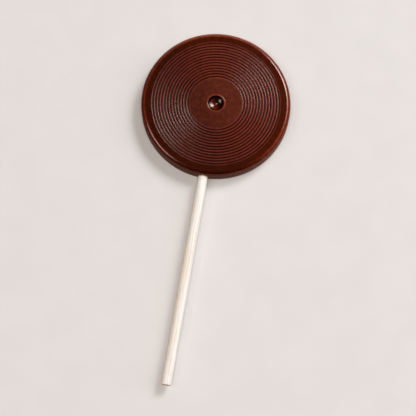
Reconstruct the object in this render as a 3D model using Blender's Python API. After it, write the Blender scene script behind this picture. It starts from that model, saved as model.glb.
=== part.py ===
"""Moulded chocolate lollipop: a round chocolate disc, cast with fine concentric grooves round
a smooth middle with a dimple in it, on a plain wooden stick that enters through its edge.

The disc lies on its flat back with the grooved face up. The origin is the middle of that back,
+Z points out of the grooved face, and the stick runs along -Y.
"""

import math

import bmesh
import bpy

MM = 0.001
GAP = 0.3 * MM  # kept between the chocolate and the stick

# Disc, with radii from its axis and heights from its back
DISC_RADIUS = 34.0 * MM
DISC_HEIGHT = 7.75 * MM  # back to the crest of the rim
TURN_STEPS = 64
BACK_EDGE_RADIUS = 0.9 * MM

# Rim: a barely raised crest, then a narrow facet, a steeper band and a rounded shoulder that
# meets the upright wall
RIM_RISE = 0.05 * MM  # crest above the face inside it
RIM_FOOT_INSET = 2.35 * MM  # foot of the rim on the face, in from the wall
RIM_CREST_INSET = 1.75 * MM
RIM_FACET_WIDTH = 0.6 * MM
RIM_FACET_ANGLE = 19.0  # slope of the facet, degrees
RIM_BAND_ANGLE = 38.0  # slope of the band from the facet to the shoulder, degrees
RIM_SHOULDER_RADIUS = 0.7 * MM

# Grooves: V-shaped and evenly spaced, with flat lands between them
GROOVE_COUNT = 13
GROOVE_FIRST_RADIUS = 12.8 * MM
GROOVE_PITCH = 1.333 * MM
GROOVE_WIDTH = 0.8 * MM
GROOVE_DEPTH = 0.45 * MM

# Dimple in the middle: a thin raised lip, a steep side, a shallow bowl and a nub at its bottom
LIP_OUTER_RADIUS = 4.3 * MM
DIMPLE_RADIUS = 3.6 * MM
LIP_RISE = 0.05 * MM
BOWL_RADIUS = 3.3 * MM
BOWL_TOP_DEPTH = 0.9 * MM  # of the steep side
BOWL_SPHERE_RADIUS = 6.4 * MM
NUB_RADIUS = 0.55 * MM
NUB_HEIGHT = 0.25 * MM

# Stick: a round birch dowel
STICK_RADIUS = 2.15 * MM
STICK_LENGTH = 120.0 * MM
STICK_BURIED = 25.0 * MM
STICK_HEIGHT = 3.9 * MM  # its axis above the disc's back
STICK_EDGE_RADIUS = 0.3 * MM
STICK_SIDES = 32

FACE_HEIGHT = DISC_HEIGHT - RIM_RISE
STICK_INNER_END = DISC_RADIUS - STICK_BURIED  # distance from the disc's axis


def clear_scene():
    for old in list(bpy.data.objects):
        bpy.data.objects.remove(old, do_unlink=True)


def principled(name, colour, roughness):
    material = bpy.data.materials.new(name)
    material.use_nodes = True
    shader = material.node_tree.nodes["Principled BSDF"]
    shader.inputs["Base Color"].default_value = (*colour, 1.0)
    shader.inputs["Roughness"].default_value = roughness
    shader.inputs["Metallic"].default_value = 0.0
    return material


def arc(radius_at, height_at, radius, start, end, steps):
    """Points on an arc round (radius_at, height_at). Angles are in degrees from straight up,
    positive outwards."""
    angles = [math.radians(start + (end - start) * i / steps) for i in range(steps + 1)]
    return [
        (radius_at + radius * math.sin(a), height_at + radius * math.cos(a)) for a in angles
    ]


def wall_profile():
    """The back, its rounded edge, the wall and the rim, from the axis outwards and up to the
    foot of the rim on the face."""
    back_edge = arc(
        DISC_RADIUS - BACK_EDGE_RADIUS, BACK_EDGE_RADIUS, BACK_EDGE_RADIUS, 180.0, 90.0, 3
    )

    crest = (DISC_RADIUS - RIM_CREST_INSET, DISC_HEIGHT)
    facet_fall = RIM_FACET_WIDTH * math.tan(math.radians(RIM_FACET_ANGLE))
    facet_end = (crest[0] + RIM_FACET_WIDTH, DISC_HEIGHT - facet_fall)
    foot = (DISC_RADIUS - RIM_FOOT_INSET, FACE_HEIGHT)

    # The shoulder's arc touches the band at one end and the upright wall at the other.
    band_fall = (DISC_RADIUS - facet_end[0]) * math.tan(math.radians(RIM_BAND_ANGLE))
    shoulder_cut = RIM_SHOULDER_RADIUS * math.tan(math.radians(90.0 - RIM_BAND_ANGLE) / 2)
    shoulder = arc(
        DISC_RADIUS - RIM_SHOULDER_RADIUS,
        facet_end[1] - band_fall - shoulder_cut,
        RIM_SHOULDER_RADIUS,
        90.0,
        RIM_BAND_ANGLE,
        4,
    )
    return [(0.0, 0.0)] + back_edge + shoulder + [facet_end, crest, foot]


def groove_profile():
    """The grooves from the outermost to the innermost."""
    points = []
    for index in reversed(range(GROOVE_COUNT)):
        middle = GROOVE_FIRST_RADIUS + index * GROOVE_PITCH
        points.append((middle + GROOVE_WIDTH / 2, FACE_HEIGHT))
        points.append((middle, FACE_HEIGHT - GROOVE_DEPTH))
        points.append((middle - GROOVE_WIDTH / 2, FACE_HEIGHT))
    return points


def dimple_profile():
    """The lip, the dimple's side, its bowl and the nub, from the face in to the axis."""
    lip_radius = (LIP_OUTER_RADIUS - DIMPLE_RADIUS) / 2
    lip_height_at = FACE_HEIGHT + LIP_RISE - lip_radius
    at_face = math.degrees(math.acos((FACE_HEIGHT - lip_height_at) / lip_radius))
    lip = arc(DIMPLE_RADIUS + lip_radius, lip_height_at, lip_radius, at_face, -90.0, 5)

    # The bowl is part of a sphere, from the foot of the steep side to the nub.
    sphere = BOWL_SPHERE_RADIUS
    sphere_height = FACE_HEIGHT - BOWL_TOP_DEPTH + math.sqrt(sphere**2 - BOWL_RADIUS**2)
    edge_angle = 180.0 - math.degrees(math.asin(BOWL_RADIUS / sphere))
    nub_angle = 180.0 - math.degrees(math.asin(NUB_RADIUS / sphere))
    bowl = arc(0.0, sphere_height, sphere, edge_angle, nub_angle, 4)

    bottom = bowl[-1][1]
    nub_side = (NUB_RADIUS * 0.6, bottom + NUB_HEIGHT * 0.75)
    return lip + bowl + [nub_side, (0.0, bottom + NUB_HEIGHT)]


def turned_mesh(name, profile):
    """A solid of revolution about Z from (radius, height) points that start and end on it."""
    shape = bmesh.new()
    verts = [shape.verts.new((radius, 0.0, height)) for radius, height in profile]
    edges = [shape.edges.new(pair) for pair in zip(verts, verts[1:])]
    bmesh.ops.spin(
        shape,
        geom=verts + edges,
        cent=(0.0, 0.0, 0.0),
        axis=(0.0, 0.0, 1.0),
        angle=2 * math.pi,
        steps=TURN_STEPS,
        use_merge=True,
    )
    bmesh.ops.remove_doubles(shape, verts=shape.verts, dist=0.001 * MM)
    bmesh.ops.recalc_face_normals(shape, faces=shape.faces)
    return finished_mesh(name, shape)


def rod_mesh(name, radius, length, edge_radius):
    """A round rod from the origin along +Z, with its two end edges rounded."""
    shape = bmesh.new()
    bmesh.ops.create_cone(
        shape,
        cap_ends=True,
        cap_tris=False,
        segments=STICK_SIDES,
        radius1=radius,
        radius2=radius,
        depth=length,
    )
    bmesh.ops.translate(shape, vec=(0.0, 0.0, length / 2), verts=shape.verts)
    if edge_radius:
        ends = [face for face in shape.faces if len(face.verts) == STICK_SIDES]
        rims = [edge for face in ends for edge in face.edges]
        bmesh.ops.bevel(
            shape,
            geom=rims,
            offset=edge_radius,
            offset_type="OFFSET",
            segments=2,
            profile=0.5,
            affect="EDGES",
            material=-1,
        )
    return finished_mesh(name, shape)


def finished_mesh(name, shape):
    mesh = bpy.data.meshes.new(name)
    shape.to_mesh(mesh)
    shape.free()
    mesh.shade_smooth()
    mesh.set_sharp_from_angle(angle=math.radians(30.0))
    return mesh


def add_object(name, mesh, parent, material=None):
    obj = bpy.data.objects.new(name, mesh)
    bpy.context.scene.collection.objects.link(obj)
    obj.parent = parent
    if material:
        mesh.materials.append(material)
    return obj


def lay_along_stick(obj, start):
    """Turn a rod that was made along +Z to lie along -Y, from start outwards."""
    obj.rotation_euler = (math.radians(90.0), 0.0, 0.0)
    obj.location = (0.0, -start, STICK_HEIGHT)


def add_disc(lollipop, chocolate):
    profile = wall_profile() + groove_profile() + dimple_profile()
    disc = add_object("chocolate_disc", turned_mesh("chocolate_disc", profile), lollipop, chocolate)

    # The blind hole that the stick was cast into
    start = STICK_INNER_END - GAP
    reach = DISC_RADIUS + STICK_RADIUS - start
    hole = rod_mesh("stick_hole", STICK_RADIUS + GAP, reach, 0.0)
    cutter = add_object("stick_hole", hole, lollipop)
    lay_along_stick(cutter, start)
    cutter.hide_render = True
    cutter.display_type = "WIRE"

    cut = disc.modifiers.new("stick_hole", "BOOLEAN")
    cut.operation = "DIFFERENCE"
    cut.solver = "EXACT"
    cut.object = cutter


def add_stick(lollipop, wood):
    mesh = rod_mesh("stick", STICK_RADIUS, STICK_LENGTH, STICK_EDGE_RADIUS)
    stick = add_object("stick", mesh, lollipop, wood)
    lay_along_stick(stick, STICK_INNER_END)


def main():
    clear_scene()
    lollipop = bpy.data.objects.new("lollipop", None)
    bpy.context.scene.collection.objects.link(lollipop)
    add_disc(lollipop, principled("milk_chocolate", (0.085, 0.018, 0.009), 0.35))
    add_stick(lollipop, principled("birch_wood", (0.80, 0.68, 0.50), 0.6))


main()
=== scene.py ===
"""Finished look of a moulded chocolate lollipop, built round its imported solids.

The disc is turned from an outline whose corners are rounded one by one, and the hole for the
stick is cut into it. The stick is a birch dowel with its fibres raised on it. The stage is a
pale floor, soft lamps and a camera.
"""

import math

import bmesh
import bpy
from bpy.props import FloatProperty, FloatVectorProperty, IntProperty, PointerProperty
from mathutils import Matrix, Vector, noise


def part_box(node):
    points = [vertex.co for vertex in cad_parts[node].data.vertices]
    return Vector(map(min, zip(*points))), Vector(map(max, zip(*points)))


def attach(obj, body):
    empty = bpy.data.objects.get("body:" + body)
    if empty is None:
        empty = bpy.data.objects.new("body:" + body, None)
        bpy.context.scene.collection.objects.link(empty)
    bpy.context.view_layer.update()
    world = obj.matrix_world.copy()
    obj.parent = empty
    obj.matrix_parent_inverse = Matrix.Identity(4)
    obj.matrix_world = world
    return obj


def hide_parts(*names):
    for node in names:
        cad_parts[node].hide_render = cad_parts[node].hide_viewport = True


bl_info = {
    "name": "Chocolate Lollipop",
    "version": (1, 0, 0),
    "blender": (4, 5, 0),
    "location": "3D View > Sidebar > Lollipop",
    "description": "Builds a grooved chocolate disc on a wooden stick, with a studio stage",
    "category": "Object",
}

MM = 0.001
BODY = "root"
SENSOR_WIDTH = 36.0
LAMP_TARGET = Vector((0.0, -30.0 * MM, 0.0))
LAMP_DISTANCE = 2.0

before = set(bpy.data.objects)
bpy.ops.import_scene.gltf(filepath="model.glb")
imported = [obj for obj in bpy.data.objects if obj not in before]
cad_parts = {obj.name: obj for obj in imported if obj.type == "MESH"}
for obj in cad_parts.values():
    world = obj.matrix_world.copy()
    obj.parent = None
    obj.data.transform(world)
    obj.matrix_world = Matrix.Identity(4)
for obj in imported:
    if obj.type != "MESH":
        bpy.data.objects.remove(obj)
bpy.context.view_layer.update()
DISC_LOW, DISC_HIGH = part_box("chocolate_disc")
STICK_LOW, STICK_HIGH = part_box("stick")
DISC_RADIUS = DISC_HIGH.x
DISC_HEIGHT = DISC_HIGH.z
STICK_RADIUS = STICK_HIGH.x
STICK_AXIS_HEIGHT = (STICK_LOW.z + STICK_HIGH.z) / 2


# Settings


def length(name, description, default):
    return FloatProperty(
        name=name,
        description=description,
        default=default,
        min=0.0,
        precision=5,
        subtype="DISTANCE",
        unit="LENGTH",
    )


def slope(name, description, degrees):
    return FloatProperty(
        name=name, description=description, default=math.radians(degrees), subtype="ANGLE"
    )


def share(name, description, default):
    return FloatProperty(
        name=name, description=description, default=default, min=0.0, max=1.0, subtype="FACTOR"
    )


def tint(name, description, default):
    return FloatVectorProperty(
        name=name,
        description=description,
        default=default,
        size=3,
        min=0.0,
        max=1.0,
        subtype="COLOR",
    )


class DiscShape(bpy.types.PropertyGroup):
    """Sizes of the chocolate disc, with radii from its axis and heights from its back"""

    radius: length("Radius", "Radius of the upright wall", DISC_RADIUS)
    height: length("Height", "From the back to the crest of the rim", DISC_HEIGHT)
    back_rounding: length("Back rounding", "Radius of the edge round the back", 0.9 * MM)
    rim_rise: length("Rim rise", "Crest of the rim above the face", 0.05 * MM)
    rim_foot: length("Rim foot", "Foot of the rim on the face, in from the wall", 2.35 * MM)
    rim_inset: length("Rim inset", "Crest of the rim, in from the wall", 1.75 * MM)
    facet_width: length("Facet width", "Flat facet just outside the crest", 0.6 * MM)
    facet_slope: slope("Facet slope", "Slope of the facet", 19.0)
    band_slope: slope("Band slope", "Slope of the band from the facet to the wall", 38.0)
    rim_shoulder: length("Rim shoulder", "Radius that rolls into the wall", 0.7 * MM)
    grooves: IntProperty(name="Grooves", description="Number of grooves", default=13, min=1)
    first_groove: length("First groove", "Radius of the innermost groove", 12.8 * MM)
    pitch: length("Pitch", "Distance between neighbouring grooves", 1.333 * MM)
    groove_depth: length("Groove depth", "Depth below the face", 0.45 * MM)
    lip_radius: length("Lip radius", "Crest of the lip round the dimple", 3.95 * MM)
    lip_width: length("Lip width", "Width of the lip", 0.7 * MM)
    lip_rise: length("Lip rise", "Lip above the face", 0.05 * MM)
    bowl_radius: length("Bowl radius", "Foot of the dimple's steep side", 3.3 * MM)
    bowl_top: length("Bowl top", "Depth of the steep side", 0.9 * MM)
    bowl_sphere: length("Bowl sphere", "Radius of the sphere that the bowl is part of", 6.4 * MM)
    nub_radius: length("Nub radius", "Foot of the nub in the bowl", 0.55 * MM)
    nub_height: length("Nub height", "Nub above the bowl's bottom", 0.25 * MM)
    # Painted light: the chocolate is painted lighter towards this side and darker away from it,
    # standing in for the key lamp's light across the disc.
    painted_light_side: slope("Pale side", "Side on which the chocolate is palest", 38.0)
    # Painted shade: the rim is painted darker towards this side.
    painted_shade_side: slope("Dark side", "Side on which the rim is darkest", 280.0)
    waviness: length("Waviness", "Unevenness of the cast surface", 0.004 * MM)
    turn_steps: IntProperty(name="Turn steps", description="Steps in a full turn", default=256)


class StickShape(bpy.types.PropertyGroup):
    """Sizes of the wooden stick"""

    radius: length("Radius", "Radius of the dowel", STICK_RADIUS)
    axis_height: length("Axis height", "Axis above the disc's back", STICK_AXIS_HEIGHT)
    inner_end: length("Inner end", "From the disc's axis to the buried end", -STICK_HIGH.y)
    outer_end: length("Outer end", "From the disc's axis to the free end", -STICK_LOW.y)
    end_rounding: length("End rounding", "Radius of the edges of the ends", 0.25 * MM)
    fibre_depth: length("Fibre depth", "Depth of the fibres' relief", 0.03 * MM)


class Finish(bpy.types.PropertyGroup):
    """Colours and roughness of the chocolate and the wood"""

    # The ridges are lighter and redder than the middle: partly the chocolate's own tone, partly
    # painted light on the ridge crowns.
    ridges: tint("Ridges", "Colour of the ridges", (0.113, 0.0148, 0.0060))
    # Painted shade: the groove bottoms are painted near black.
    grooves: tint("Grooves", "Colour of the bottoms of the grooves", (0.006, 0.0005, 0.0001))
    middle: tint("Middle", "Colour of the smooth middle", (0.078, 0.0143, 0.0075))
    margin: tint("Margin", "Colour of the margin", (0.043, 0.0050, 0.0006))
    # Lit and shaded painted copies of the rim's colour, mixed by side: painted light and painted
    # shade on the rim.
    rim_painted_lit: tint("Pale rim", "Colour of the rim on the pale side", (0.158, 0.0235, 0.0092))
    rim_painted_shaded: tint("Dark rim", "Colour of the rim on the dark side", (0.032, 0.003, 0.0005))
    wall: tint("Wall", "Colour of the wall and the back", (0.115, 0.0205, 0.0075))
    # Painted highlight: the lip is painted lighter and redder than the face, standing in for the
    # light its rounded crest catches.
    lip: tint("Lip", "Colour of the lip round the dimple", (0.17, 0.030, 0.012))
    # Painted shade: the dimple's steep side is painted near black.
    pit_shade: tint("Pit", "Colour of the dimple's steep side", (0.003, 0.0003, 0.0001))
    # Painted shade in the dimple's bowl, and painted light on the side of the bowl that faces the
    # lamps.
    bowl: tint("Bowl", "Colour of the dimple's bowl", (0.010, 0.0011, 0.0005))
    bowl_lit: tint("Pale bowl", "Colour of the bowl's pale side", (0.085, 0.012, 0.005))
    nub: tint("Nub", "Colour of the nub in the bowl", (0.20, 0.028, 0.014))
    wood: tint("Wood", "Colour of the stick", (0.83, 0.835, 0.835))
    wood_streak: tint("Streaks", "Colour of the darker fibres", (0.73, 0.645, 0.54))
    # The stick's shaded -X side: partly a tan in the wood, partly painted warm light on that
    # side.
    side_tan_and_painted_glow: tint("Side wood", "Colour of the stick's tan side", (1.0, 0.83, 0.67))
    end_grain: tint("End grain", "Colour of the cut ends", (0.66, 0.44, 0.24))
    stain: tint("Stain", "Colour of the stick where it enters", (0.25, 0.11, 0.03))
    face_roughness: share("Face roughness", "Roughness of the cast face", 0.165)
    ring_roughness: share("Groove roughness", "Roughness added in the grooves", 0.15)
    wall_roughness: share("Wall roughness", "Roughness of the wall and the back", 0.9)
    mottling: share("Mottling", "Strength of the small patches in the chocolate", 0.22)
    side_tan_and_painted_glow_strength: share("Tan side", "Strength of the tan on one side of the stick", 0.85)


class Stage(bpy.types.PropertyGroup):
    """Floor, lamps and camera"""

    floor: tint("Floor", "Colour of the floor", (0.676, 0.678, 0.688))
    light: FloatProperty(name="Light", description="Strength of the lamps", default=1.0)
    camera_turn: slope("Camera turn", "Turn of the lollipop in the picture", -7.716)
    camera_tilt: slope("Camera tilt", "Lean of the view from straight down", -14.126)
    camera_roll: slope("Camera roll", "Roll of the camera", -2.024)
    camera_distance: length("Camera distance", "To the disc's middle, along the view", 561.7 * MM)
    camera_shift: FloatVectorProperty(
        name="Camera shift",
        description="Where the disc's middle lies, right of and above the view's axis",
        default=(3.54 * MM, 45.87 * MM),
        size=2,
        subtype="XYZ",
        unit="LENGTH",
    )
    camera_lens: FloatProperty(
        name="Lens", description="Focal length in millimetres", default=105.57, unit="CAMERA"
    )


# Meshes


def add_piece(name, shape, material, node):
    """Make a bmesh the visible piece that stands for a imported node."""
    mesh = bpy.data.meshes.new(name)
    shape.to_mesh(mesh)
    shape.free()
    mesh.shade_smooth()
    mesh.materials.append(material)
    piece = bpy.data.objects.new(name, mesh)
    bpy.context.scene.collection.objects.link(piece)
    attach(piece, BODY)
    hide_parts(node)
    return piece


def rounding_cut(radius, turn):
    """How much of each side a rounding takes from a corner that turns by an angle."""
    return radius * math.tan(turn / 2)


def wall_corners(disc):
    """Corners of the back, the wall and the rim, each with how much of its sides its rounding
    takes, from the axis outwards and up to the foot of the rim."""
    crest_at = disc.radius - disc.rim_inset
    facet_end = crest_at + disc.facet_width
    facet_height = disc.height - disc.facet_width * math.tan(disc.facet_slope)
    shoulder_height = facet_height - (disc.radius - facet_end) * math.tan(disc.band_slope)
    shoulder_turn = math.pi / 2 - disc.band_slope
    soft = 0.12 * MM
    return [
        ((0.0, 0.0), 0.0),
        ((disc.radius, 0.0), disc.back_rounding),
        ((disc.radius, shoulder_height), rounding_cut(disc.rim_shoulder, shoulder_turn)),
        ((facet_end, facet_height), soft),
        ((crest_at, disc.height), soft),
        ((disc.radius - disc.rim_foot, disc.height - disc.rim_rise), 0.15 * MM),
    ]


def groove_corners(disc):
    """Corners of the grooves and the rounded ridges between them, from the outermost in."""
    face = disc.height - disc.rim_rise
    corners = []
    for index in reversed(range(disc.grooves)):
        middle = disc.first_groove + index * disc.pitch
        half = disc.pitch * 0.30
        corners.append(((middle + half, face), disc.pitch * 0.115))
        corners.append(((middle, face - disc.groove_depth), disc.pitch * 0.06))
        corners.append(((middle - half, face), disc.pitch * 0.115))
    return corners


def dimple_corners(disc):
    """Corners of the lip, the dimple's side, its bowl and the nub, from the face to the axis."""
    face = disc.height - disc.rim_rise
    outside = disc.lip_radius + disc.lip_width / 2
    inside = disc.lip_radius - disc.lip_width / 2
    crest = disc.lip_width * 0.2
    corners = [
        ((outside, face), disc.lip_width * 0.1),
        ((disc.lip_radius + crest, face + disc.lip_rise), disc.lip_width * 0.18),
        ((disc.lip_radius - crest, face + disc.lip_rise), disc.lip_width * 0.18),
        ((inside, face - disc.lip_rise / 2), disc.lip_width * 0.08),
        ((disc.bowl_radius, face - disc.bowl_top), disc.bowl_top * 0.15),
    ]
    edge = math.asin(disc.bowl_radius / disc.bowl_sphere)
    nub = math.asin(disc.nub_radius / disc.bowl_sphere)
    sphere_at = face - disc.bowl_top + disc.bowl_sphere * math.cos(edge)
    steps = 12
    for step in range(1, steps + 1):
        angle = edge + (nub - edge) * step / steps
        radius = disc.bowl_sphere * math.sin(angle)
        corners.append(((radius, sphere_at - disc.bowl_sphere * math.cos(angle)), 0.0))
    bottom = corners[-1][0][1]
    corners.append(((disc.nub_radius * 0.5, bottom + disc.nub_height), disc.nub_radius * 0.3))
    corners.append(((0.0, bottom + disc.nub_height), 0.0))
    return corners


def turned_outline(corners, steps, longest_side, rounding_segments):
    """Turn an outline of (corner, rounding) pairs round Z into a closed solid."""
    shape = bmesh.new()
    verts = [shape.verts.new((radius, 0.0, height)) for (radius, height), _ in corners]
    for pair in zip(verts, verts[1:]):
        shape.edges.new(pair)
    for vert, (_, rounding) in zip(verts, corners):
        if rounding:
            bmesh.ops.bevel(
                shape,
                geom=[vert],
                offset=rounding,
                offset_type="OFFSET",
                segments=rounding_segments,
                profile=0.5,
                affect="VERTICES",
                material=-1,
            )
    for edge in list(shape.edges):
        cuts = int(edge.calc_length() / longest_side)
        if cuts:
            bmesh.ops.subdivide_edges(shape, edges=[edge], cuts=cuts)
    bmesh.ops.spin(
        shape,
        geom=shape.verts[:] + shape.edges[:],
        cent=(0.0, 0.0, 0.0),
        axis=(0.0, 0.0, 1.0),
        angle=2 * math.pi,
        steps=steps,
        use_merge=True,
    )
    bmesh.ops.remove_doubles(shape, verts=shape.verts, dist=0.0005 * MM)
    bmesh.ops.recalc_face_normals(shape, faces=shape.faces)
    return shape


def laid_along_stick(shape, start, axis_height):
    """Turn a shape made along +Z to lie along -Y from start outwards, at the stick's height."""
    place = Matrix.Translation((0.0, -start, axis_height)) @ Matrix.Rotation(
        math.radians(90.0), 4, "X"
    )
    bmesh.ops.transform(shape, matrix=place, verts=shape.verts)


def roughen_cast(shape, disc):
    """Make the cast surface a little uneven, in waves of two sizes."""
    shape.normal_update()
    for vert in shape.verts:
        if vert.co.z > disc.back_rounding:
            wave = noise.noise(vert.co * 90.0) + 0.1 * noise.noise(vert.co * 300.0)
            vert.co += vert.normal * (wave * disc.waviness - disc.waviness)


def cut_stick_hole(piece, disc, stick):
    """Cut the hole that the stick was cast into, with a mouth that opens a little."""
    clearance = 0.02 * MM
    mouth_depth = 0.5 * MM
    past_wall = 2.0 * MM
    flare = 0.45
    tight = stick.radius + clearance
    start = stick.inner_end - clearance
    mouth = disc.radius - mouth_depth - start
    outside = disc.radius + past_wall - start
    corners = [
        ((0.0, 0.0), 0.0),
        ((tight, 0.0), 0.0),
        ((tight, mouth), 0.0),
        ((tight + (outside - mouth) * flare, outside), 0.0),
        ((0.0, outside), 0.0),
    ]
    shape = turned_outline(corners, 96, 1.0, 1)
    laid_along_stick(shape, start, stick.axis_height)
    mesh = bpy.data.meshes.new("stick_hole")
    shape.to_mesh(mesh)
    shape.free()
    cutter = bpy.data.objects.new("stick_hole", mesh)
    bpy.context.scene.collection.objects.link(cutter)

    cut = piece.modifiers.new("stick_hole", "BOOLEAN")
    cut.operation = "DIFFERENCE"
    cut.solver = "EXACT"
    cut.object = cutter
    graph = bpy.context.evaluated_depsgraph_get()
    finished = bpy.data.meshes.new_from_object(piece.evaluated_get(graph))
    piece.modifiers.remove(cut)
    bpy.data.objects.remove(cutter)
    plain = piece.data
    piece.data = finished
    bpy.data.meshes.remove(plain)
    finished.name = piece.name


def dowel(stick):
    """The round dowel with its ends rounded and its sides cut into rings."""
    span = stick.outer_end - stick.inner_end
    sides, rings = 96, 300
    shape = bmesh.new()
    bmesh.ops.create_cone(
        shape,
        cap_ends=True,
        cap_tris=False,
        segments=sides,
        radius1=stick.radius,
        radius2=stick.radius,
        depth=span,
    )
    bmesh.ops.translate(shape, vec=(0.0, 0.0, span / 2), verts=shape.verts)
    ends = [face for face in shape.faces if len(face.verts) == sides]
    long_edges = [edge for edge in shape.edges if edge.calc_length() > span / 2]
    bmesh.ops.subdivide_edges(shape, edges=long_edges, cuts=rings)
    rims = [edge for face in ends for edge in face.edges]
    bmesh.ops.bevel(
        shape,
        geom=rims,
        offset=stick.end_rounding,
        offset_type="OFFSET",
        segments=4,
        profile=0.5,
        affect="EDGES",
        material=-1,
    )
    ends = [face for face in shape.faces if len(face.verts) == sides]
    for _ in range(5):
        bmesh.ops.inset_region(
            shape, faces=ends, thickness=stick.radius * 0.16, use_even_offset=True
        )
    bmesh.ops.poke(shape, faces=ends)
    return shape


def raise_fibres(shape, stick):
    """Sink the surface between the fibres, which run along the stick, and pit its ends."""
    pit_depth = 0.08 * MM
    for vert in shape.verts:
        along = vert.co.z
        out = Vector((vert.co.x, vert.co.y, 0.0))
        on_end = out.length < stick.radius * 0.9
        if on_end:
            pits = noise.noise(Vector((out.x, out.y, along * 0.01)) * 2600.0)
            inwards = 1.0 if along < stick.radius else -1.0
            vert.co.z += inwards * (0.5 + 0.5 * pits) * pit_depth
            continue
        around = out.normalized()
        fine = noise.noise(Vector((around.x * 9.0, around.y * 9.0, along * 60.0)))
        coarse = noise.noise(Vector((around.x * 3.0, around.y * 3.0, along * 25.0)))
        sink = (0.5 + 0.3 * fine + 0.2 * coarse) * stick.fibre_depth
        vert.co -= around * sink


# Materials


def node(tree, kind, column, row, values=(), **options):
    """Add a shader node. values sets inputs by name or number, from a number, a colour or
    another node's output."""
    made = tree.nodes.new(kind)
    made.location = (220.0 * column, -260.0 * row)
    for key, value in options.items():
        setattr(made, key, value)
    for key, value in dict(values).items():
        socket = made.inputs[key]
        if isinstance(value, bpy.types.NodeSocket):
            tree.links.new(value, socket)
        elif isinstance(value, (tuple, list)) and len(value) == 3 and socket.type == "RGBA":
            socket.default_value = (*value, 1.0)
        else:
            socket.default_value = value
    return made


def new_material(name):
    material = bpy.data.materials.new(name)
    material.use_nodes = True
    tree = material.node_tree
    tree.nodes.clear()
    output = tree.nodes.new("ShaderNodeOutputMaterial")
    output.location = (1760.0, 0.0)
    shader = tree.nodes.new("ShaderNodeBsdfPrincipled")
    shader.location = (1460.0, 0.0)
    tree.links.new(shader.outputs["BSDF"], output.inputs["Surface"])
    return material, tree, shader


def colour_mix(tree, column, row, factor, first, second, blend="MIX"):
    """Mix two colours by a factor, and give the result."""
    mixed = node(
        tree, "ShaderNodeMix", column, row, data_type="RGBA", blend_type=blend
    )
    for number, value in ((0, factor), (6, first), (7, second)):
        socket = mixed.inputs[number]
        if isinstance(value, bpy.types.NodeSocket):
            tree.links.new(value, socket)
        elif number == 0:
            socket.default_value = value
        else:
            socket.default_value = (*value, 1.0)
    return mixed.outputs[2]


def ramp_between(tree, column, row, value, low, high, out_low=0.0, out_high=1.0):
    """A smooth step of value from low to high."""
    made = node(
        tree,
        "ShaderNodeMapRange",
        column,
        row,
        {"Value": value, 1: low, 2: high, 3: out_low, 4: out_high},
        interpolation_type="SMOOTHSTEP",
    )
    return made.outputs[0]


def arithmetic(tree, column, row, operation, *values):
    made = node(
        tree, "ShaderNodeMath", column, row, dict(enumerate(values)), operation=operation
    )
    return made.outputs[0]


def toward(tree, column, row, place, side):
    """How far a place lies toward a side of the disc, which is given as a turn from +X."""
    made = node(
        tree,
        "ShaderNodeVectorMath",
        column,
        row,
        {0: place, 1: (math.cos(side), math.sin(side), 0.0)},
        operation="DOT_PRODUCT",
    )
    return made.outputs["Value"]


def grain(tree, column, row, vector, scale, detail=3.0, roughness=0.55):
    made = node(
        tree,
        "ShaderNodeTexNoise",
        column,
        row,
        {"Vector": vector, "Scale": scale, "Detail": detail, "Roughness": roughness},
    )
    return made.outputs["Fac"]


def chocolate_bands(disc, finish, rim):
    """Colours of the grooved side as (radius, colour), from the axis outwards."""
    blend = 0.15 * MM
    label_edge = disc.first_groove - disc.pitch * 0.5
    margin_edge = disc.first_groove + disc.pitch * (disc.grooves - 0.62)
    crest_at = disc.radius - disc.rim_inset
    # Painted shade: a darker line, 0.55 of the rim's colour, is painted round the top of the wall
    # where the shoulder turns away from the light.
    painted_shade_line = [part * 0.55 for part in rim]
    return [
        (disc.nub_radius * 0.7, finish.nub),
        # Painted shade in the bowl.
        (disc.nub_radius * 1.3, finish.bowl),
        (disc.bowl_radius * 0.84, finish.bowl),
        # Painted shade on the dimple's steep side.
        (disc.bowl_radius * 0.95, finish.pit_shade),
        (disc.lip_radius - disc.lip_width * 0.5, finish.pit_shade),
        # Painted highlight on the lip.
        (disc.lip_radius - disc.lip_width * 0.3, finish.lip),
        (disc.lip_radius + disc.lip_width * 0.4, finish.lip),
        (disc.lip_radius + disc.lip_width * 0.7, finish.middle),
        (label_edge - blend, finish.middle),
        # Ridges: own tone plus painted light on their crowns.
        (label_edge, finish.ridges),
        (margin_edge, finish.ridges),
        (margin_edge + blend, finish.margin),
        (crest_at - blend * 2, finish.margin),
        (crest_at + blend * 2, rim),
        (disc.radius - 1.05 * MM, rim),
        # Painted shade line round the top of the wall.
        (disc.radius - 0.9 * MM, painted_shade_line),
        (disc.radius - 0.65 * MM, painted_shade_line),
        (disc.radius - 0.4 * MM, finish.wall),
    ]


def band_ramp(tree, column, row, share, disc, bands):
    """A colour ramp over the share of the disc's radius."""
    ramp = node(tree, "ShaderNodeValToRGB", column, row, {"Fac": share})
    stops = ramp.color_ramp.elements
    stops.remove(stops[1])
    for index, (at, colour) in enumerate(bands):
        stop = stops[0] if index == 0 else stops.new(at / disc.radius)
        stop.position = at / disc.radius
        stop.color = (*colour, 1.0)
    return ramp.outputs["Color"]


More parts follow.
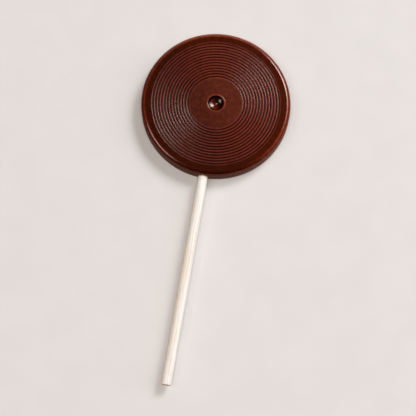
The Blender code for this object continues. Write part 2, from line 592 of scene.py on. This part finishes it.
def chocolate_colour(tree, place, radius, height, in_rings, disc, finish):
    """Bands round the disc, with painted shade in the groove bottoms and painted light on one
    side of the bowl, the wall and the back, all with a painted light shade from the painted light
    side of the disc to the other, broken by clouds, and small random patches."""
    radius_share = arithmetic(tree, -3, 0, "DIVIDE", radius, disc.radius)
    # Painted light and shade on the rim: a lit and a shaded copy of the rim's colour are mixed by
    # how far a place lies toward the painted shade side.
    painted_shade_bands = band_ramp(
        tree, -2, 0, radius_share, disc, chocolate_bands(disc, finish, finish.rim_painted_shaded)
    )
    painted_light_bands = band_ramp(
        tree, -2, -1, radius_share, disc, chocolate_bands(disc, finish, finish.rim_painted_lit)
    )
    painted_shade_side = toward(tree, -4, 7, place, disc.painted_shade_side)
    rim_painted_light = ramp_between(
        tree, -1, 7, painted_shade_side, disc.radius * 0.5, disc.radius * 1.02, 1.0, 0.0
    )
    colour = colour_mix(tree, 0, 0, rim_painted_light, painted_shade_bands, painted_light_bands)

    # Painted shade: the groove bottoms are painted near black, more so deeper down, where shade
    # falls in them.
    face = disc.height - disc.rim_rise
    deep = ramp_between(
        tree, -2, 1, height, face - disc.groove_depth * 0.8, face - disc.groove_depth * 0.02, 1, 0
    )
    painted_groove_shade = arithmetic(tree, 0, 1, "MULTIPLY", deep, in_rings)
    colour = colour_mix(tree, 1, 0, painted_groove_shade, colour, finish.grooves)

    painted_light_side = toward(tree, -4, 5, place, disc.painted_light_side)
    # Painted light: the bowl's side away from the painted light side, where its hollow faces the
    # lamps, is painted lighter. The nub is left out.
    painted_bowl_light_side = ramp_between(
        tree, -1, 8, painted_light_side, -disc.bowl_radius * 0.7, disc.bowl_radius * 0.4, 1.0, 0.0
    )
    in_bowl = ramp_between(
        tree, -1, 9, radius, disc.bowl_radius * 0.8, disc.bowl_radius * 0.95, 1.0, 0.0
    )
    off_nub = ramp_between(tree, -1, 10, radius, disc.nub_radius * 0.7, disc.nub_radius * 1.3)
    in_bowl = arithmetic(tree, 0, 9, "MULTIPLY", in_bowl, off_nub)
    painted_bowl_light = arithmetic(tree, 0, 8, "MULTIPLY", in_bowl, painted_bowl_light_side)
    colour = colour_mix(tree, 1, 1, painted_bowl_light, colour, finish.bowl_lit)

    on_face = ramp_between(tree, -2, 4, height, disc.height * 0.6, disc.height * 0.7)
    colour = colour_mix(tree, 2, 0, on_face, finish.wall, colour)

    # Painted light: a shade factor from 0.82 to 1.2 runs across the disc towards the painted
    # light side, broken up by clouds. It stands in for the key lamp's light. The small patches
    # multiplied in after it are random tone.
    cloud = grain(tree, -4, 6, place, 90.0, 3.0, 0.5)
    cloud = ramp_between(tree, -3, 6, cloud, 0.2, 0.8, -disc.radius * 0.2, disc.radius * 0.2)
    clouded = arithmetic(tree, -2, 5, "ADD", painted_light_side, cloud)
    darkest, palest = 0.82, 1.2
    shade = ramp_between(
        tree, -1, 5, clouded, -disc.radius * 0.35, disc.radius * 0.35, darkest, palest
    )
    patches = grain(tree, -3, 8, place, 520.0, 4.0, 0.6)
    patches = ramp_between(
        tree, -2, 8, patches, 0.3, 0.7, 1.0 - finish.mottling, 1.0 + finish.mottling
    )
    shade = arithmetic(tree, 0, 5, "MULTIPLY", shade, patches)
    tone = node(tree, "ShaderNodeCombineColor", 1, 5, {0: shade, 1: shade, 2: shade})
    return colour_mix(tree, 3, 0, 1.0, colour, tone.outputs[0], "MULTIPLY")


def chocolate_material(disc, finish):
    """Glossy cast chocolate, duller in the grooves and dull on the wall, with fine pits."""
    material, tree, shader = new_material("milk_chocolate")
    place = node(tree, "ShaderNodeTexCoord", -7, 0).outputs["Object"]
    split = node(tree, "ShaderNodeSeparateXYZ", -6, 0, {0: place}).outputs
    flat = node(tree, "ShaderNodeCombineXYZ", -5, 0, {0: split["X"], 1: split["Y"]})
    radius = node(
        tree, "ShaderNodeVectorMath", -4, 0, {0: flat.outputs[0]}, operation="LENGTH"
    ).outputs["Value"]
    past_middle = ramp_between(
        tree, -2, 2, radius, disc.first_groove - disc.pitch, disc.first_groove - disc.pitch * 0.5
    )
    before_margin = ramp_between(
        tree,
        -2,
        3,
        radius,
        disc.first_groove + disc.pitch * (disc.grooves - 0.5),
        disc.first_groove + disc.pitch * (disc.grooves - 0.2),
        1,
        0,
    )
    in_rings = arithmetic(tree, -1, 2, "MULTIPLY", past_middle, before_margin)

    colour = chocolate_colour(tree, place, radius, split["Z"], in_rings, disc, finish)
    tree.links.new(colour, shader.inputs["Base Color"])

    rough = ramp_between(
        tree,
        1,
        13,
        radius,
        disc.radius - 0.5 * MM,
        disc.radius - 0.2 * MM,
        finish.face_roughness,
        finish.wall_roughness,
    )
    ring_rough = arithmetic(tree, 1, 14, "MULTIPLY", in_rings, finish.ring_roughness)
    rough = arithmetic(tree, 2, 13, "ADD", rough, ring_rough)
    haze = grain(tree, 1, 12, place, 500.0, 4.0, 0.6)
    haze = ramp_between(tree, 2, 12, haze, 0.3, 0.7, -0.02, 0.02)
    rough = arithmetic(tree, 3, 12, "ADD", rough, haze)
    tree.links.new(rough, shader.inputs["Roughness"])
    shader.inputs["Specular IOR Level"].default_value = 0.75
    shader.inputs["Specular Tint"].default_value = (1.0, 0.88, 0.82, 1.0)

    fine = grain(tree, 1, 15, place, 2600.0, 2.0, 0.5)
    bump = node(
        tree, "ShaderNodeBump", 2, 15, {"Height": fine, "Strength": 0.02, "Distance": 0.05 * MM}
    )
    tree.links.new(bump.outputs[0], shader.inputs["Normal"])
    return material


def wood_material(disc, stick, finish):
    """Unfinished birch: fine fibres along the stick, a tan tint with painted warm light on its
    shaded -X side, tan cut ends, and a stain from the chocolate where the stick enters it."""
    material, tree, shader = new_material("birch_wood")
    place = node(tree, "ShaderNodeTexCoord", -6, 0).outputs["Object"]
    drawn = node(
        tree,
        "ShaderNodeMapping",
        -5,
        0,
        {"Vector": place, "Location": (0.0, 0.0, -stick.axis_height), "Scale": (1.0, 0.03, 1.0)},
    ).outputs[0]
    streak = grain(tree, -4, 0, drawn, 1500.0, 4.0, 0.6)
    broad = grain(tree, -4, 1, drawn, 700.0, 2.0, 0.5)
    streak = ramp_between(tree, -3, 0, streak, 0.42, 0.66, 0.0, 0.75)
    broad = ramp_between(tree, -3, 1, broad, 0.4, 0.7, 0.0, 0.35)
    colour = colour_mix(tree, -2, 0, streak, finish.wood, finish.wood_streak)
    colour = colour_mix(tree, -1, 0, broad, colour, finish.wood_streak)

    split = node(tree, "ShaderNodeSeparateXYZ", -5, 3, {0: place}).outputs
    # Painted light: the -X side of the stick, which lies in shade, is tinted tan and lit warmer,
    # with an uneven edge.
    uneven = arithmetic(tree, -4, 2, "MULTIPLY_ADD", broad, -stick.radius, split["X"])
    side = ramp_between(
        tree, -3, 2, uneven, -stick.radius, -stick.radius * 0.55, finish.side_tan_and_painted_glow_strength, 0.0
    )
    colour = colour_mix(tree, -1, 1, side, colour, finish.side_tan_and_painted_glow)

    along = split["Y"]
    speck = grain(tree, -4, 4, place, 3200.0, 2.0, 0.5)
    grain_tone = ramp_between(tree, -3, 4, speck, 0.35, 0.65, 0.7, 1.15)
    tone = node(
        tree, "ShaderNodeCombineColor", -2, 4, {0: grain_tone, 1: grain_tone, 2: grain_tone}
    )
    cut_end = colour_mix(tree, -1, 4, 1.0, finish.end_grain, tone.outputs[0], "MULTIPLY")
    at_end = ramp_between(
        tree, -3, 3, along, -stick.outer_end + 0.05 * MM, -stick.outer_end + 0.25 * MM, 1.0, 0.0
    )
    colour = colour_mix(tree, 0, 0, at_end, colour, cut_end)

    ragged = grain(tree, -4, 5, place, 1500.0, 3.0, 0.6)
    shifted = arithmetic(tree, -3, 5, "MULTIPLY_ADD", ragged, 1.2 * MM, along)
    stained = ramp_between(
        tree, -2, 5, shifted, -disc.radius - 0.1 * MM, -disc.radius + 0.5 * MM, 0.0, 0.9
    )
    colour = colour_mix(tree, 1, 0, stained, colour, finish.stain)
    tree.links.new(colour, shader.inputs["Base Color"])
    shader.inputs["Roughness"].default_value = 0.7
    shader.inputs["Specular IOR Level"].default_value = 0.3
    shader.inputs["Subsurface Weight"].default_value = 0.8
    shader.inputs["Subsurface Radius"].default_value = (1.0, 1.0, 1.0)
    shader.inputs["Subsurface Scale"].default_value = 2.2 * MM

    bump = node(
        tree,
        "ShaderNodeBump",
        1,
        4,
        {"Height": streak, "Strength": 0.2, "Distance": 0.05 * MM},
    )
    tree.links.new(bump.outputs[0], shader.inputs["Normal"])
    return material


def floor_material(stage):
    material, tree, shader = new_material("studio_floor")
    place = node(tree, "ShaderNodeTexCoord", -4, 0).outputs["Object"]
    cloud = grain(tree, -3, 0, place, 60.0, 3.0, 0.5)
    tone = ramp_between(tree, -2, 0, cloud, 0.3, 0.7, 0.985, 1.01)
    shade = node(tree, "ShaderNodeCombineColor", -1, 0, {0: tone, 1: tone, 2: tone})
    colour = colour_mix(tree, 0, 0, 1.0, stage.floor, shade.outputs[0], "MULTIPLY")
    tree.links.new(colour, shader.inputs["Base Color"])
    shader.inputs["Roughness"].default_value = 0.9
    shader.inputs["Specular IOR Level"].default_value = 0.2
    return material


# Stage


def add_floor(stage):
    shape = bmesh.new()
    bmesh.ops.create_grid(shape, x_segments=1, y_segments=1, size=3.0)
    bmesh.ops.translate(shape, vec=(0.0, 0.0, -0.02 * MM), verts=shape.verts)
    mesh = bpy.data.meshes.new("studio_floor")
    shape.to_mesh(mesh)
    shape.free()
    mesh.materials.append(floor_material(stage))
    floor = bpy.data.objects.new("studio_floor", mesh)
    bpy.context.scene.collection.objects.link(floor)


def add_lamp(name, turn, rise, size, power, colour, glossy=True):
    """A soft lamp, size (width, height), that faces the lollipop. turn is from +X towards +Y and
    rise is above the floor, both in degrees."""
    lamp = bpy.data.lights.new(name, "AREA")
    lamp.shape = "RECTANGLE"
    lamp.size, lamp.size_y = size
    lamp.energy = power
    lamp.color = colour
    a, e = math.radians(turn), math.radians(rise)
    away = Vector((math.cos(a) * math.cos(e), math.sin(a) * math.cos(e), math.sin(e)))
    obj = bpy.data.objects.new(name, lamp)
    obj.matrix_world = Matrix.LocRotScale(
        LAMP_TARGET + away * LAMP_DISTANCE, away.to_track_quat("Z", "Y"), None
    )
    obj.visible_glossy = glossy
    bpy.context.scene.collection.objects.link(obj)


def add_lamps(strength):
    """A soft key from the upper right with a bright middle, a wide low light from the right, a
    warm light overhead that lifts the shadows, and a weak fill from the left."""
    white = (1.0, 0.985, 0.97)
    warm = (1.0, 0.87, 0.77)
    add_lamp("key_lamp", 46.0, 42.0, (1.1, 1.0), 7.4 * strength, white)
    add_lamp("side_lamp", 14.0, 31.0, (1.6, 1.5), 11.0 * strength, white, glossy=False)
    add_lamp("key_middle", 57.0, 45.0, (0.73, 0.73), 17.6 * strength, white)
    add_lamp("top_lamp", 266.0, 78.0, (1.0, 1.0), 22.8 * strength, warm, glossy=False)
    add_lamp("fill_lamp", 197.0, 57.0, (0.8, 0.6), 5.3 * strength, white)
    world = bpy.data.worlds.new("studio_air")
    world.use_nodes = True
    air = world.node_tree.nodes["Background"]
    air.inputs["Color"].default_value = (*white, 1.0)
    air.inputs["Strength"].default_value = 0.01 * strength
    bpy.context.scene.world = world


def add_camera(stage):
    """A camera that looks down on the lollipop from just over the stick's side."""
    to_camera = (
        Matrix.Translation((*stage.camera_shift, -stage.camera_distance))
        @ Matrix.Rotation(stage.camera_roll, 4, "Z")
        @ Matrix.Rotation(stage.camera_tilt, 4, "X")
        @ Matrix.Rotation(stage.camera_turn, 4, "Z")
    )
    lens = bpy.data.cameras.new("camera")
    lens.sensor_width = SENSOR_WIDTH
    lens.lens = stage.camera_lens
    camera = bpy.data.objects.new("camera", lens)
    camera.matrix_world = to_camera.inverted()
    bpy.context.scene.collection.objects.link(camera)
    bpy.context.scene.camera = camera


# Operators, panel and registration


class LOLLIPOP_OT_disc(bpy.types.Operator):
    """Turn the grooved chocolate disc and cut the stick's hole into it"""

    bl_idname = "lollipop.disc"
    bl_label = "Chocolate Disc"

    def execute(self, context):
        scene = context.scene
        disc, stick = scene.lollipop_disc, scene.lollipop_stick
        corners = wall_corners(disc) + groove_corners(disc) + dimple_corners(disc)
        shape = turned_outline(corners, disc.turn_steps, 0.5 * MM, 4)
        roughen_cast(shape, disc)
        material = chocolate_material(disc, scene.lollipop_finish)
        piece = add_piece("moulded_disc", shape, material, "chocolate_disc")
        cut_stick_hole(piece, disc, stick)
        return {"FINISHED"}


class LOLLIPOP_OT_stick(bpy.types.Operator):
    """Make the birch dowel"""

    bl_idname = "lollipop.stick"
    bl_label = "Wooden Stick"

    def execute(self, context):
        scene = context.scene
        stick = scene.lollipop_stick
        shape = dowel(stick)
        raise_fibres(shape, stick)
        laid_along_stick(shape, stick.inner_end, stick.axis_height)
        material = wood_material(scene.lollipop_disc, stick, scene.lollipop_finish)
        add_piece("birch_dowel", shape, material, "stick")
        return {"FINISHED"}


class LOLLIPOP_OT_stage(bpy.types.Operator):
    """Add the floor, the lamps and the camera"""

    bl_idname = "lollipop.stage"
    bl_label = "Studio Stage"

    def execute(self, context):
        stage = context.scene.lollipop_stage
        add_floor(stage)
        add_lamps(stage.light)
        add_camera(stage)
        context.scene.view_settings.view_transform = "Standard"
        return {"FINISHED"}


class LOLLIPOP_PT_builder(bpy.types.Panel):
    """Settings and steps of the lollipop"""

    bl_label = "Lollipop"
    bl_space_type = "VIEW_3D"
    bl_region_type = "UI"
    bl_category = "Lollipop"

    def draw(self, context):
        steps = {
            "lollipop_disc": LOLLIPOP_OT_disc,
            "lollipop_stick": LOLLIPOP_OT_stick,
            "lollipop_stage": LOLLIPOP_OT_stage,
            "lollipop_finish": None,
        }
        for name, operator in steps.items():
            settings = getattr(context.scene, name)
            box = self.layout.box()
            for prop in type(settings).__annotations__:
                box.prop(settings, prop)
            if operator:
                box.operator(operator.bl_idname)


SETTINGS = {
    "lollipop_disc": DiscShape,
    "lollipop_stick": StickShape,
    "lollipop_finish": Finish,
    "lollipop_stage": Stage,
}
CLASSES = (
    *SETTINGS.values(),
    LOLLIPOP_OT_disc,
    LOLLIPOP_OT_stick,
    LOLLIPOP_OT_stage,
    LOLLIPOP_PT_builder,
)


def register():
    for cls in CLASSES:
        bpy.utils.register_class(cls)
    for name, group in SETTINGS.items():
        setattr(bpy.types.Scene, name, PointerProperty(type=group))


def unregister():
    for name in SETTINGS:
        delattr(bpy.types.Scene, name)
    for cls in reversed(CLASSES):
        bpy.utils.unregister_class(cls)


def main():
    register()
    bpy.ops.lollipop.stage()
    bpy.ops.lollipop.disc()
    bpy.ops.lollipop.stick()


if __name__ == "__main__":
    main()
